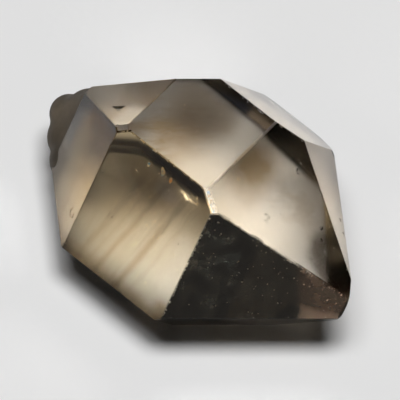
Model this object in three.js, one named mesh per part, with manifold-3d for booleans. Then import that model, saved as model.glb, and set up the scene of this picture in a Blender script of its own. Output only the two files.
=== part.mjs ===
// Herkimer diamond: a clear quartz crystal with a point at both ends, lying on one prism face.
//
// Frame: the crystal's long axis runs along X, with the sharp end at +X and the knobbly end at -X.
// The prism face called "top" looks straight up, the face called "bottom" rests on the ground, and the
// broad face called "upper front" looks towards -Y. Units are millimetres.
//
// Quartz fixes the directions of the faces, and growth fixes how far out each one lies. So the crystal
// is a block with one cut per face: six prism faces round the long axis, six slanting faces at each end,
// and a small corner face at each end of the edge between the top and the upper front faces. The left
// point is missing, and knobs of the same quartz have grown over the rough end.

import * as THREE from 'three';
import { mergeVertices } from 'three/addons/utils/BufferGeometryUtils.js';
import Module from 'manifold-3d';

// How far a slanting end face's outward direction leans away from the long axis, in degrees.
const END_FACE_LEAN = 51.79;

// Each row is one prism face: how far round the long axis it is turned from the top towards the front,
// in degrees, and the distances in mm from the crystal's centre to it and to the slanting faces that
// meet it at the right and left ends.
const FACES = {
  top: { turn: 0, prism: 3.33, right: 3.28, left: 4.16 },
  upperFront: { turn: 60, prism: 2.58, right: 3.02, left: 3.71 },
  lowerFront: { turn: 120, prism: 4.04, right: 4.02, left: 4.9 },
  bottom: { turn: 180, prism: 3.2, right: 4.93, left: 5.5 },
  lowerBack: { turn: 240, prism: 4.84, right: 4.42, left: 5.9 },
  upperBack: { turn: 300, prism: 3.8, right: 4.21, left: 3.84 },
};

// The small corner faces, half way round between the top and the upper front.
const CORNER_TURN = 30;
const CORNER_RIGHT = 3.47;
const CORNER_LEFT = 4.06;

// The block that the crystal is cut from, and the cutters, are larger than any crystal face.
const BLOCK = 20;

// The left point is missing: the crystal ends there in a rough cross face, this far from the centre.
const ROUGH_END = 5.1;

// Rounded lobes of the same quartz grew together over the rough end, each [x, y, z, radius].
const LOBES = [
  [-5.89, 0.1, -1.27, 0.68],
  [-5.29, -0.38, -1.54, 0.88],
  [-4.65, -0.95, -1.59, 0.9],
  [-4.83, -0.06, -2.1, 0.93],
  [-4.98, 0.7, -1.75, 0.87],
  [-5.2, 0.35, -0.75, 0.85],
  [-5.0, 0.35, 0.1, 0.55],
  [-4.75, 1.25, -1.1, 0.74],
];
const LOBE_DETAIL = 4;

const SMOKY = new THREE.MeshStandardMaterial({
  name: 'smoky_quartz',
  color: 0x8a7c6a,
  roughness: 0.04,
  metalness: 0,
  transparent: true,
  opacity: 0.45,
});

const wasm = await Module();
wasm.setup();

// A closed three.js shape as a solid that can be joined and cut.
function solidOf(geometry) {
  const bare = geometry.clone();
  bare.deleteAttribute('normal');
  bare.deleteAttribute('uv');
  const merged = mergeVertices(bare, 1e-5);
  const vertProperties = new Float32Array(merged.attributes.position.array);
  const triVerts = new Uint32Array(merged.index.array);
  return new wasm.Manifold(new wasm.Mesh({ numProp: 3, vertProperties, triVerts }));
}

// A solid as a three.js geometry.
function geometryOf(solid) {
  const mesh = solid.getMesh();
  const geometry = new THREE.BufferGeometry();
  geometry.setAttribute('position', new THREE.BufferAttribute(mesh.vertProperties, 3));
  geometry.setIndex(new THREE.BufferAttribute(mesh.triVerts, 1));
  geometry.computeVertexNormals();
  return geometry;
}

// The outward direction of a face that is turned round the long axis and leans from it by some degrees.
// end is 1 at the right end, -1 at the left end.
function faceDirection(turn, lean, end) {
  const round = THREE.MathUtils.degToRad(turn);
  const tilt = THREE.MathUtils.degToRad(lean);
  const across = Math.sin(tilt);
  return new THREE.Vector3(
    end * Math.cos(tilt),
    -across * Math.sin(round),
    across * Math.cos(round),
  );
}

// Everything that lies further out than a face: a block whose near side is that face's plane.
function beyond(direction, distance) {
  const block = new THREE.BoxGeometry(2 * BLOCK, 2 * BLOCK, 2 * BLOCK);
  block.translate(0, 0, distance + BLOCK);
  const turned = new THREE.Quaternion().setFromUnitVectors(new THREE.Vector3(0, 0, 1), direction);
  block.applyQuaternion(turned);
  return solidOf(block);
}

// The block with every face cut on it.
function cutCrystal() {
  const cuts = [];
  for (const face of Object.values(FACES)) {
    cuts.push([faceDirection(face.turn, 90, 1), face.prism]);
    cuts.push([faceDirection(face.turn, END_FACE_LEAN, 1), face.right]);
    cuts.push([faceDirection(face.turn, END_FACE_LEAN, -1), face.left]);
  }
  // A corner face cuts the edge between two slanting faces of one end and the two prism faces below them.
  const cornerLean = THREE.MathUtils.radToDeg(
    Math.atan(2 * Math.cos(Math.PI / 6) * Math.tan(THREE.MathUtils.degToRad(END_FACE_LEAN))),
  );
  cuts.push([faceDirection(CORNER_TURN, cornerLean, 1), CORNER_RIGHT]);
  cuts.push([faceDirection(CORNER_TURN, cornerLean, -1), CORNER_LEFT]);
  cuts.push([new THREE.Vector3(-1, 0, 0), ROUGH_END]);

  let crystal = solidOf(new THREE.BoxGeometry(BLOCK, BLOCK, BLOCK));
  for (const [direction, distance] of cuts) {
    crystal = crystal.subtract(beyond(direction, distance));
  }
  return crystal;
}

// The lobes, joined to the crystal.
function withKnobblyEnd(crystal) {
  let whole = crystal;
  for (const [x, y, z, radius] of LOBES) {
    const lobe = new THREE.IcosahedronGeometry(radius, LOBE_DETAIL);
    lobe.translate(x, y, z);
    whole = whole.add(solidOf(lobe));
  }
  return whole;
}

// The crystal stands with its lowest face on z = 0 and the middle of its box on the Z axis.
function onTheGround(geometry) {
  geometry.computeBoundingBox();
  const box = geometry.boundingBox;
  const middle = box.getCenter(new THREE.Vector3());
  geometry.translate(-middle.x, -middle.y, -box.min.z);
  return geometry;
}

const crystal = new THREE.Mesh(onTheGround(geometryOf(withKnobblyEnd(cutCrystal()))), SMOKY);
crystal.name = 'crystal';

const herkimerDiamond = new THREE.Group();
herkimerDiamond.add(crystal);

export default herkimerDiamond;
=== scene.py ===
# %% [markdown]
# # A Herkimer diamond
#
# A Herkimer diamond is a clear quartz crystal that grew loose in a pocket of rock, so that it has a
# point at both ends. This one is about twelve millimetres long, smoky, and lies on one of its six
# long faces. A few rounded knobs of the same quartz grew over one end.
#
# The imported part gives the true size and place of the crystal. This file makes the stone that is
# seen: its faces, its worn edges, the small marks on it and the specks sealed in it.

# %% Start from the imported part
import math
import random

import bpy
from mathutils import Matrix, Vector


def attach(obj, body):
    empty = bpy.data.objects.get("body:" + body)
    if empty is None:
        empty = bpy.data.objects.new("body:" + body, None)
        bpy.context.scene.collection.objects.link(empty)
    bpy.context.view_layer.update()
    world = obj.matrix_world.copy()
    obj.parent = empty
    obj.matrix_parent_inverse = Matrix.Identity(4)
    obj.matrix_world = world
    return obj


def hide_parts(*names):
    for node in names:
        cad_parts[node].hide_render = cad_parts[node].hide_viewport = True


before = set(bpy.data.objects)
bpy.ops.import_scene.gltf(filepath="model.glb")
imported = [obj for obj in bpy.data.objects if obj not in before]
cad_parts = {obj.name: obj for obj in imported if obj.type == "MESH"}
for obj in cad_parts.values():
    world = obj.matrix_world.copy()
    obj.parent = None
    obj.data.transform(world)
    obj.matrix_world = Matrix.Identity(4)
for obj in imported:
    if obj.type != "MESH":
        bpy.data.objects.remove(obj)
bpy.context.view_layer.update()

# %% [markdown]
# ## The faces of the crystal
#
# Quartz always has the same angles. Six prism faces stand round the long axis, 60 degrees apart, and
# at each end six slanting faces close the point. Only how far each face grew from the middle differs
# from one crystal to the next. So a face is written as three things: how far it is turned round the
# long axis, how far it leans away from that axis, and its distance from the crystal's centre. That is
# how a crystallographer writes it, and it is exact. Pushing corners about by hand would lose the angles.

# %% How far out each face lies
END_FACE_LEAN = 51.79
PRISM_LEAN = 90.0
RIGHT, LEFT = 1, -1

# turned round the axis, distance to the prism face, to the right end's face, to the left end's face
GROWTH = {
    "top": (0, 3.33, 3.28, 4.16),
    "upper_front": (60, 2.58, 3.02, 3.71),
    "lower_front": (120, 4.04, 4.02, 4.9),
    "bottom": (180, 3.2, 4.93, 5.5),
    "lower_back": (240, 4.84, 4.42, 5.9),
    "upper_back": (300, 3.8, 4.21, 3.84),
}
CORNER_TURN = 30
CORNER_LEAN = math.degrees(math.atan(2 * math.cos(math.pi / 6) * math.tan(math.radians(END_FACE_LEAN))))
CORNER_RIGHT, CORNER_LEFT = 3.47, 4.06
ROUGH_END = 5.1
CENTRE = Vector((0.275, -0.583, 3.2))


def face_direction(turn, lean, end):
    """The way a face looks, from how far it is turned round the long axis and leans away from it."""
    turn, lean = math.radians(turn), math.radians(lean)
    across = math.sin(lean)
    return Vector((end * math.cos(lean), -across * math.sin(turn), across * math.cos(turn)))


FACES = {}
for name, (turn, prism, right, left) in GROWTH.items():
    FACES[name] = (face_direction(turn, PRISM_LEAN, RIGHT), prism)
    FACES[name + "_right"] = (face_direction(turn, END_FACE_LEAN, RIGHT), right)
    FACES[name + "_left"] = (face_direction(turn, END_FACE_LEAN, LEFT), left)
FACES["corner_right"] = (face_direction(CORNER_TURN, CORNER_LEAN, RIGHT), CORNER_RIGHT)
FACES["corner_left"] = (face_direction(CORNER_TURN, CORNER_LEAN, LEFT), CORNER_LEFT)
FACES["rough_end"] = (Vector((-1, 0, 0)), ROUGH_END)
print(len(FACES), "faces")

# %% [markdown]
# ## Working size
#
# Blender's units are metres, and its modelling tools are made for things the size of furniture. A
# crystal of twelve millimetres would fall under their smallest steps. So every piece is modelled with
# one unit for a millimetre, and shrunk to its real size when it is finished.

# %% Helpers for modelling
MM = 0.001


def start_with(primitive, **settings):
    """Adds a primitive while nothing else is selected, so that no operator touches another piece."""
    bpy.ops.object.select_all(action="DESELECT")
    primitive(**settings)
    return bpy.context.object


def only(thing):
    """Makes one object the only selected and active one."""
    bpy.ops.object.select_all(action="DESELECT")
    thing.select_set(True)
    bpy.context.view_layer.objects.active = thing


def reshape(thing, *steps):
    """Runs edit mode operators on the whole of one mesh. Each step is an operator and its settings."""
    only(thing)
    bpy.ops.object.mode_set(mode="EDIT")
    for operator, settings in steps:
        bpy.ops.mesh.select_all(action="SELECT")
        operator(**settings)
    bpy.ops.object.mode_set(mode="OBJECT")


def modify(thing, kind, **settings):
    """Adds a modifier and applies it, so that the mesh itself has the new shape."""
    modifier = thing.modifiers.new(kind, kind)
    for key, value in settings.items():
        setattr(modifier, key, value)
    only(thing)
    bpy.ops.object.modifier_apply(modifier=modifier.name)


def to_real_size(thing):
    """Shrinks a piece that was modelled in millimetres, with its origin at the world's."""
    only(thing)
    thing.scale = (MM, MM, MM)
    bpy.ops.object.transform_apply(location=True, rotation=True, scale=True)


def joined(things, name):
    """Joins several objects to one, with its place in its mesh."""
    bpy.ops.object.select_all(action="DESELECT")
    for thing in things:
        thing.select_set(True)
    bpy.context.view_layer.objects.active = things[0]
    if len(things) > 1:
        bpy.ops.object.join()
    whole = bpy.context.object
    whole.name = name
    bpy.ops.object.transform_apply(location=True, rotation=True, scale=True)
    return whole


def copy_of(thing, place, size, turn):
    """A copy with a mesh of its own, put in its place."""
    copy = thing.copy()
    copy.data = thing.data.copy()
    bpy.context.collection.objects.link(copy)
    copy.location = place
    copy.scale = size
    copy.rotation_mode = "QUATERNION"
    copy.rotation_quaternion = turn
    return copy


# %% [markdown]
# ## Cutting the crystal
#
# The crystal starts as a block that is larger than any face. Bisect cuts a mesh with a plane, throws
# away the outer side and closes the hole. One cut for each face leaves the crystal, with every edge
# where two planes really meet.

# %% Cut the crystal from a block
BLOCK = 24


def cut_to_faces(thing, depth=0.0, on_plane=0.00001, same_point=0.001):
    """Cuts off all of a mesh that isn't at least so deep under every face of the crystal."""
    cuts = [
        (bpy.ops.mesh.bisect, {
            "plane_co": CENTRE + direction * (distance - depth), "plane_no": direction,
            "use_fill": True, "clear_outer": True, "threshold": on_plane,
        })
        for direction, distance in FACES.values()
    ]
    merge = (bpy.ops.mesh.remove_doubles, {"threshold": same_point})
    point_outwards = (bpy.ops.mesh.normals_make_consistent, {"inside": False})
    reshape(thing, *cuts, merge, point_outwards)


crystal = start_with(bpy.ops.mesh.primitive_cube_add, size=BLOCK, location=CENTRE)
crystal.name = "crystal_body"
bpy.ops.object.transform_apply(location=True)
cut_to_faces(crystal)
print("the cut crystal has", len(crystal.data.polygons), "faces and", len(crystal.data.edges), "edges")

# %% [markdown]
# ## Finding places on the crystal
#
# Marks are placed by face. A spot on a face is given by how far it lies along the face, in the
# direction closest to the long axis, and how far across it, from the point of the face that is nearest
# the centre. The corners of the faces are read from the mesh now, while each face is still one polygon.

# %% Places on faces and edges
LONG_AXIS = Vector((1, 0, 0))


def directions_on(name):
    """The outward, along and across directions of a face."""
    outward = FACES[name][0]
    along = (LONG_AXIS - outward * outward.dot(LONG_AXIS)).normalized()
    return outward, along, outward.cross(along)


def spot(name, along_by, across_by, depth=0.0):
    """A point on a face, or under it."""
    outward, along, across = directions_on(name)
    return CENTRE + outward * (FACES[name][1] - depth) + along * along_by + across * across_by


def corners_of(name):
    """The corners of a face."""
    direction = FACES[name][0]
    polygon = max(crystal.data.polygons, key=lambda face: face.normal.dot(direction))
    return [crystal.data.vertices[number].co.copy() for number in polygon.vertices]


FACE_CORNERS = {name: corners_of(name) for name in FACES}


def edge_between(first, second):
    """The two ends of the edge where two faces meet."""
    return [
        corner for corner in FACE_CORNERS[first]
        if any((corner - other).length < 0.01 for other in FACE_CORNERS[second])
    ][:2]


for first, second in (("top", "upper_front"), ("top", "top_right"), ("upper_front", "upper_front_right")):
    start, end = edge_between(first, second)
    print(first, "meets", second, "along", round((end - start).length, 2), "mm")

# %% [markdown]
# ## Worn edges and the blunt tip
#
# The edges of a real crystal are sharp, but never perfectly so. A very narrow bevel catches the light
# as they do. The corners of the right end's tip and three corners at the back are blunter than the rest:
# they were knocked and have worn round. They get a bevel of their own first, on the corners only, which
# leaves the long edges sharp.

# %% Round the blunt corners and soften the edges
# a corner, measured from the centre, and how far it is worn away
WORN_CORNERS = [
    ((5.68, 0.29, -1.81), 0.27),
    ((6.01, 0.29, -1.27), 0.27),
    ((6.01, 0.71, -0.56), 0.25),
    ((-1.38, 4.99, -1.04), 0.55),
    ((1.0, 4.99, -1.04), 0.4),
    ((1.98, 4.54, -0.27), 0.3),
]
# how close to its listed place a corner is looked for
CORNER_REACH = 0.05
CORNER_STEPS = 4
EDGE_WEAR = 0.014
EDGE_STEPS = 2
SHARP_ANGLE = 22

only(crystal)
bpy.ops.object.mode_set(mode="EDIT")
bpy.ops.mesh.select_mode(type="VERT")
for corner_place, worn in WORN_CORNERS:
    bpy.ops.mesh.select_all(action="DESELECT")
    bpy.ops.object.mode_set(mode="OBJECT")
    for corner in crystal.data.vertices:
        corner.select = (corner.co - CENTRE - Vector(corner_place)).length < CORNER_REACH
    print("corner", corner_place, "found:", sum(corner.select for corner in crystal.data.vertices) == 1)
    bpy.ops.object.mode_set(mode="EDIT")
    bpy.ops.mesh.bevel(offset=worn, segments=CORNER_STEPS, affect="VERTICES", clamp_overlap=True)
bpy.ops.object.mode_set(mode="OBJECT")

modify(
    crystal, "BEVEL", width=EDGE_WEAR, segments=EDGE_STEPS,
    limit_method="ANGLE", angle_limit=math.radians(SHARP_ANGLE),
)
print("worn edges:", len(crystal.data.polygons), "faces")

# %% [markdown]
# ## The knobs over the rough end
#
# The left point is missing. Later growth covered the rough end with rounded knobs that melt into each
# other. Round balls are placed where the knobs are, with a hull of smaller balls that fills the hollows
# between them. Remesh turns them into one skin, and Smooth rounds the grooves, as later layers of
# quartz did. Sculpting would give the same shape, but it can't be repeated exactly.

# %% Grow the knobs
# where a knob's middle lies from the centre, and its radius
KNOBS = [
    (-5.89, 0.1, -1.27, 0.68),
    (-5.29, -0.38, -1.54, 0.88),
    (-4.65, -0.95, -1.59, 0.9),
    (-4.83, -0.06, -2.1, 0.93),
    (-4.98, 0.7, -1.75, 0.87),
    (-5.2, 0.35, -0.75, 0.85),
    (-5.0, 0.35, 0.1, 0.55),
    (-4.75, 1.25, -1.1, 0.74),
]
KNOB_DETAIL = 4
# the hull's balls, as a share of the knobs, and the size of the squares in the skin
HULL_SIZE, KNOB_SKIN = 0.86, 0.08
MELT_STRENGTH, MELT_ROUNDS = 0.5, 14


def balls(size):
    """The knobs as balls, at a share of their full radius."""
    ball = bpy.ops.mesh.primitive_ico_sphere_add
    return [
        start_with(ball, subdivisions=KNOB_DETAIL, radius=radius * size, location=CENTRE + Vector((x, y, z)))
        for x, y, z, radius in KNOBS
    ]


hull = joined(balls(HULL_SIZE), "knob_hull")
reshape(hull, (bpy.ops.mesh.convex_hull, {}))
knobs = joined(balls(1.0) + [hull], "knobs")
modify(knobs, "REMESH", mode="VOXEL", voxel_size=KNOB_SKIN)
modify(knobs, "SMOOTH", factor=MELT_STRENGTH, iterations=MELT_ROUNDS)
bpy.ops.object.shade_smooth()
print("the knobs' skin has", len(knobs.data.polygons), "faces")

# %% [markdown]
# ## Chipped edges
#
# Quartz is hard but brittle, so its edges lose tiny chips, most of them thinner than a hair. Seen
# against a dark face they sparkle. One rough chip is modelled, copied along the edges at random sizes
# and turns, and all the copies are cut from the crystal together. Twenty faces for each chip are plenty
# at this size.

# %% Model one chip
CHIP_ROUGHNESS = 0.35

chip = start_with(bpy.ops.mesh.primitive_ico_sphere_add, subdivisions=1, radius=1)
reshape(chip, (bpy.ops.transform.vertex_random, {"offset": CHIP_ROUGHNESS, "seed": 3}))
print("one chip has", len(chip.data.polygons), "faces")

# %% Spread chips along the edges
random.seed(7)
# the two faces, how many chips, their smallest and largest radius, and a bruise's size beside its chip's
CHIPPED_EDGES = [
    ("top", "upper_front", 34, 0.024, 0.075, 0.65),
    ("top", "top_right", 24, 0.022, 0.05, 0.65),
    ("top", "upper_back", 18, 0.022, 0.06, 0.4),
    ("top", "top_left", 12, 0.02, 0.04, 0.5),
    ("top_right", "upper_front_right", 34, 0.024, 0.06, 0.4),
    ("top_right", "upper_back", 9, 0.025, 0.06, 0.4),
    ("upper_front", "upper_front_right", 40, 0.024, 0.06, 0.6),
    ("upper_front", "upper_front_left", 16, 0.02, 0.045, 0.5),
    ("corner_left", "upper_front", 5, 0.03, 0.055, 0.5),
    ("corner_left", "top_left", 4, 0.02, 0.04, 0.5),
    ("corner_right", "top_right", 6, 0.02, 0.045, 0.5),
    ("corner_right", "top", 4, 0.025, 0.045, 0.5),
    ("top_right", "upper_back_right", 8, 0.02, 0.04, 0.5),
    ("upper_front_right", "lower_front_right", 12, 0.02, 0.05, 0.5),
    ("upper_front", "lower_front", 12, 0.02, 0.05, 0.5),
    ("upper_back", "upper_back_right", 6, 0.02, 0.04, 0.5),
]
# the part of an edge that has chips, and how far they stand out from it, as a share of their radius
CHIPPED_PART = (0.02, 0.98)
CHIP_STANDS_OUT = (0.1, 0.6)
# a chip's width and thickness, as a share of its radius
CHIP_WIDTH, CHIP_THICKNESS = (0.6, 1.4), (0.6, 1.2)
# a bruise lies this many radii and this many millimetres inside its chip's middle
BRUISE_RADII, BRUISE_GAP = 1.6, 0.02


def random_turn():
    """Any turn at all."""
    return Vector([random.gauss(0, 1) for _ in range(4)]).normalized()


cutters = []
bruised_places = []
for first, second, count, smallest, largest, bruise in CHIPPED_EDGES:
    start, end = edge_between(first, second)
    outward = (FACES[first][0] + FACES[second][0]).normalized()
    for _ in range(count):
        radius = smallest + (largest - smallest) * random.random() ** 2
        place = start.lerp(end, random.uniform(*CHIPPED_PART))
        place = place + outward * radius * random.uniform(*CHIP_STANDS_OUT)
        size = (radius, radius * random.uniform(*CHIP_WIDTH), radius * random.uniform(*CHIP_THICKNESS))
        cutters.append(copy_of(chip, place, size, random_turn()))
        inside = place - outward * (radius * BRUISE_RADII + BRUISE_GAP)
        bruised_places.append((inside, radius * bruise))
print("chips:", len(cutters))

# %% [markdown]
# ## Marks on the faces
#
# The faces carry a few marks: a three-sided growth pit, as quartz often has on its end faces, small
# round pits, curved bruises and short scratches. They could be painted as bumps. But a mark in clear
# quartz bends what is seen through it, so these are cut into the mesh. A pit is the same rough chip, a
# curved bruise is a row of them, and a scratch is one chip drawn out long.

# %% Which marks there are
# the face, along it, across it, radius
PITS = [
    ("top_right", 2.56, 1.47, 0.1),
    ("top_right", 2.86, 1.21, 0.08),
    ("top_right", 4.0, 0.35, 0.03),
    ("top_right", 0.28, 2.33, 0.035),
    ("upper_back_right", 1.75, 1.23, 0.1),
    ("upper_back_right", 2.21, 1.21, 0.07),
    ("upper_front_right", 5.0, 0.3, 0.08),
    ("upper_front", 0.95, 0.2, 0.03),
    ("top", -1.7, 0.4, 0.02),
]
# the face, the middle of the curve, its radius, where it starts and ends in degrees, the groove's width
CURVED_MARKS = [
    ("top_right", 0.93, 0.07, 0.11, -70, 140, 0.055),
    ("upper_front_left", -0.92, -1.96, 0.15, 110, 400, 0.036),
]
# the face, from (along, across), to (along, across), width
SCRATCHES = [
    ("top", -0.01, 0.54, -0.02, 0.3, 0.034),
    ("top", -0.97, -0.66, -0.97, -1.0, 0.024),
    ("top", 0.1, 0.9, 0.22, 0.86, 0.024),
    ("upper_front", -1.74, -0.57, -1.66, -1.19, 0.022),
    ("upper_front", 0.4, 0.62, 0.29, -0.4, 0.018),
    ("upper_front", -1.55, 1.31, -1.38, 1.19, 0.036),
    ("upper_front_right", 1.35, -0.2, 1.46, -0.3, 0.036),
    ("top_right", 0.36, 2.3, 0.5, 2.26, 0.034),
]
print(len(PITS), "pits,", len(CURVED_MARKS), "curved bruises and", len(SCRATCHES), "scratches")

# %% Cut the marks
GROWTH_PIT_CORNERS = 3
GROWTH_PIT_SPOT = (-1.07, -0.33)
GROWTH_PIT_SIZE = (0.2, 0.39)
GROWTH_PIT_DEPTH = 0.1
# the tip of the cone lies under the face, and its wide end a little outside it
GROWTH_PIT_SUNK = 0.04
# how far outside its face the middle of a cut lies, as a share of its radius or width
PIT_RISE, CURVE_RISE, SCRATCH_RISE = 0.45, 0.1, 0.3
# the chips along a curve lie this share of its width apart
CHIP_SPACING = 0.8
# how thick a scratch's chip is beside its width
SCRATCH_DEPTH = 0.7


def turned_to(name, spin=0.0):
    """A turn that lays local X along a face and points local Z out of it."""
    outward, along, across = directions_on(name)
    turn = Matrix((along, across, outward)).transposed().to_quaternion()
    return turn @ Matrix.Rotation(math.radians(spin), 3, "Z").to_quaternion()


cone = bpy.ops.mesh.primitive_cone_add
growth_pit = start_with(cone, vertices=GROWTH_PIT_CORNERS, radius1=0, radius2=1, depth=1)
growth_pit.location = spot("top_left", *GROWTH_PIT_SPOT, depth=GROWTH_PIT_SUNK)
growth_pit.scale = (*GROWTH_PIT_SIZE, GROWTH_PIT_DEPTH)
growth_pit.rotation_mode = "QUATERNION"
growth_pit.rotation_quaternion = turned_to("top_left", 90)
cutters.append(growth_pit)

for name, along_by, across_by, radius in PITS:
    place = spot(name, along_by, across_by, depth=-radius * PIT_RISE)
    cutters.append(copy_of(chip, place, (radius, radius, radius), random_turn()))
for name, along_by, across_by, reach, first, last, width in CURVED_MARKS:
    steps = round(math.radians(last - first) * reach / (width * CHIP_SPACING))
    for step in range(steps + 1):
        angle = math.radians(first + (last - first) * step / steps)
        along_here, across_here = along_by + reach * math.cos(angle), across_by + reach * math.sin(angle)
        place = spot(name, along_here, across_here, depth=-width * CURVE_RISE)
        cutters.append(copy_of(chip, place, (width, width, width), random_turn()))
for name, along_a, across_a, along_b, across_b, width in SCRATCHES:
    long_way = math.dist((along_a, across_a), (along_b, across_b))
    spin = math.degrees(math.atan2(across_b - across_a, along_b - along_a))
    place = spot(name, (along_a + along_b) / 2, (across_a + across_b) / 2, depth=-width * SCRATCH_RISE)
    size = (long_way / 2, width / 2, width * SCRATCH_DEPTH)
    cutters.append(copy_of(chip, place, size, turned_to(name, spin)))

all_cuts = joined(cutters, "all_cuts")
modify(crystal, "BOOLEAN", operation="DIFFERENCE", object=all_cuts, solver="EXACT", use_self=True)
bpy.data.objects.remove(all_cuts)
print("after", len(cutters), "cuts the crystal has", len(crystal.data.polygons), "faces")

# %% [markdown]
# ## Nodes from Python
#
# A material is a small program drawn with nodes. Written out node by node, even a short sum fills a
# page. So a socket is wrapped in a class that knows the operators: `1 - mask` or `mask * 0.5` then add
# the Math nodes themselves. Every other node is added by one method, which takes the node's type, its
# settings and what goes into its sockets.
#
# A mask is an amount that is 1 where something shows and 0 elsewhere. Most masks here are made with
# rise and near, from distances in millimetres, so they can be read as a drawing with measures.

# %% The two classes that the materials are written with
# the sockets of a Mix node for colours: its mask, its two colours and its result
MIX_MASK, MIX_UNDER, MIX_OVER, MIX_COLOUR = 0, 6, 7, 2


class Amount:
    """A number that differs from place to place: an output socket that Python can do sums with."""

    def __init__(self, finish, socket):
        self.finish = finish
        self.socket = socket

    def sum(self, operation, *values):
        """The result of a Math node."""
        node = self.finish.add("ShaderNodeMath", {"operation": operation}, dict(enumerate(values)))
        return Amount(self.finish, node.outputs[0])

    def __add__(self, other):
        return self.sum("ADD", self, other)

    def __radd__(self, other):
        return self.sum("ADD", other, self)

    def __sub__(self, other):
        return self.sum("SUBTRACT", self, other)

    def __rsub__(self, other):
        return self.sum("SUBTRACT", other, self)

    def __mul__(self, other):
        return self.sum("MULTIPLY", self, other)

    def __rmul__(self, other):
        return self.sum("MULTIPLY", other, self)

    def __truediv__(self, other):
        return self.sum("DIVIDE", self, other)

    def __abs__(self):
        return self.sum("ABSOLUTE", self)

    def above(self, limit):
        """1 where it is above the limit, and 0 elsewhere."""
        return self.sum("GREATER_THAN", self, limit)

    def rise(self, low, high):
        """From 0 at low to 1 at high, with soft ends. Low may be the larger one."""
        sockets = {"Value": self, "From Min": low, "From Max": high}
        settings = {"interpolation_type": "SMOOTHSTEP", "clamp": True}
        if low > high:
            sockets = {"Value": self, "From Min": high, "From Max": low, "To Min": 1.0, "To Max": 0.0}
        node = self.finish.add("ShaderNodeMapRange", settings, sockets)
        return Amount(self.finish, node.outputs["Result"])

    def near(self, middle, far, close):
        """1 where it is closer to the middle than close, and 0 where it is further off than far."""
        return abs(self - middle).rise(far, close)

    def share(self, low, high):
        """0 at low and 1 at high, evenly in between."""
        return (self - low) / (high - low)

    def spread(self, low, high):
        """A mask that runs from low to high instead of from 0 to 1."""
        return self * (high - low) + low


class Finish:
    """A material, its Principled surface, and the one way that nodes are added to it."""

    def __init__(self, name):
        self.material = bpy.data.materials.new(name)
        self.material.use_nodes = True
        self.tree = self.material.node_tree
        self.surface = self.tree.nodes["Principled BSDF"]
        self.output = self.tree.nodes["Material Output"]

    def put(self, node, sockets):
        """Sets a node's sockets: an amount is linked, and anything else is a fixed value."""
        for key, value in sockets.items():
            if isinstance(value, Amount):
                self.tree.links.new(value.socket, node.inputs[key])
            else:
                node.inputs[key].default_value = value

    def add(self, kind, settings, sockets):
        """Adds a node of any kind. A ramp's stops are one of its settings."""
        node = self.tree.nodes.new(kind)
        for key, value in settings.items():
            if key == "stops":
                ramp = node.color_ramp
                while len(ramp.elements) < len(value):
                    ramp.elements.new(0.5)
                for element, (position, colour) in zip(ramp.elements, value):
                    element.position = position
                    element.color = colour
            else:
                setattr(node, key, value)
        self.put(node, sockets)
        return node

    def place(self):
        """Where a point lies, in millimetres from the crystal's centre."""
        object_place = self.add("ShaderNodeTexCoord", {}, {}).outputs["Object"]
        from_centre = self.vector("SUBTRACT", Amount(self, object_place), tuple(CENTRE * MM))
        scaled = self.add("ShaderNodeVectorMath", {"operation": "SCALE"}, {0: from_centre, "Scale": 1 / MM})
        return Amount(self, scaled.outputs["Vector"])

    def vector(self, operation, first, second):
        """Two places or two colours added, subtracted or multiplied."""
        node = self.add("ShaderNodeVectorMath", {"operation": operation}, {0: first, 1: second})
        return Amount(self, node.outputs["Vector"])

    def reach(self, place, direction):
        """How far a point lies in a direction."""
        sockets = {0: place, 1: tuple(direction)}
        node = self.add("ShaderNodeVectorMath", {"operation": "DOT_PRODUCT"}, sockets)
        return Amount(self, node.outputs["Value"])

    def noise(self, place, scale, detail=2.0, roughness=0.5, stretch=(1, 1, 1), shift=(0, 0, 0)):
        """Clouds of values round 0.5. Stretch draws them out, shift picks another part of them."""
        moved = self.vector("MULTIPLY", self.vector("ADD", place, shift), stretch)
        sockets = {"Vector": moved, "Scale": scale, "Detail": detail, "Roughness": roughness}
        return Amount(self, self.add("ShaderNodeTexNoise", {}, sockets).outputs["Fac"])

    def drawn_out(self, place, direction, times):
        """A place for noise that is to be drawn out in one direction, by so many times."""
        shift = self.reach(place, direction) * (1 / times - 1)
        node = self.add("ShaderNodeVectorMath", {"operation": "SCALE"}, {0: tuple(direction), "Scale": shift})
        return self.vector("ADD", place, Amount(self, node.outputs["Vector"]))

    def colours(self, mask, stops):
        """A colour for each value of a mask."""
        node = self.add("ShaderNodeValToRGB", {"stops": stops}, {"Fac": mask})
        return Amount(self, node.outputs["Color"])

    def blend(self, mask, under, over):
        """One colour where the mask is 0, the other where it is 1."""
        sockets = {MIX_MASK: mask, MIX_UNDER: under, MIX_OVER: over}
        node = self.add("ShaderNodeMix", {"data_type": "RGBA"}, sockets)
        return Amount(self, node.outputs[MIX_COLOUR])

    def washes(self, colour, *washes):
        """A colour with washes of others over it, each given as its mask, strength and colour."""
        for mask, strength, over in washes:
            colour = self.blend(mask * strength, colour, over)
        return colour


# %% [markdown]
# ## Clear quartz with a smoky tint
#
# Quartz is clear and bends light strongly, so the floor is seen through the near faces, and at flat
# angles a face inside the stone mirrors like silver. Nothing of that is painted: Transmission and the
# right IOR do it. The brown of smoky quartz comes from natural radiation, and deepens with the way that
# light takes through the stone. Volume Absorption does that, with one colour and one density for all.
#
# A stone on a pale floor also shows the floor's grey gloss on each face. Here it is seen as through a
# polarising filter, which takes most of that gloss away and lets the dark faces be dark. A Specular Tint
# below white does the same. It weakens what the outer faces mirror, and leaves the inside alone. The
# tint leans to brown, so that the gloss that is left doesn't look colder than the stone.

# %% Start the crystal's finish
QUARTZ_IOR = 1.544
FACE_REFLECTION = (0.36, 0.32, 0.27, 1)
# about what is left of the light after each step through the stone, and the steps in a metre
SMOKE_TINT = (0.929, 0.921, 0.906, 1)
SMOKE_DENSITY = 1000


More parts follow.
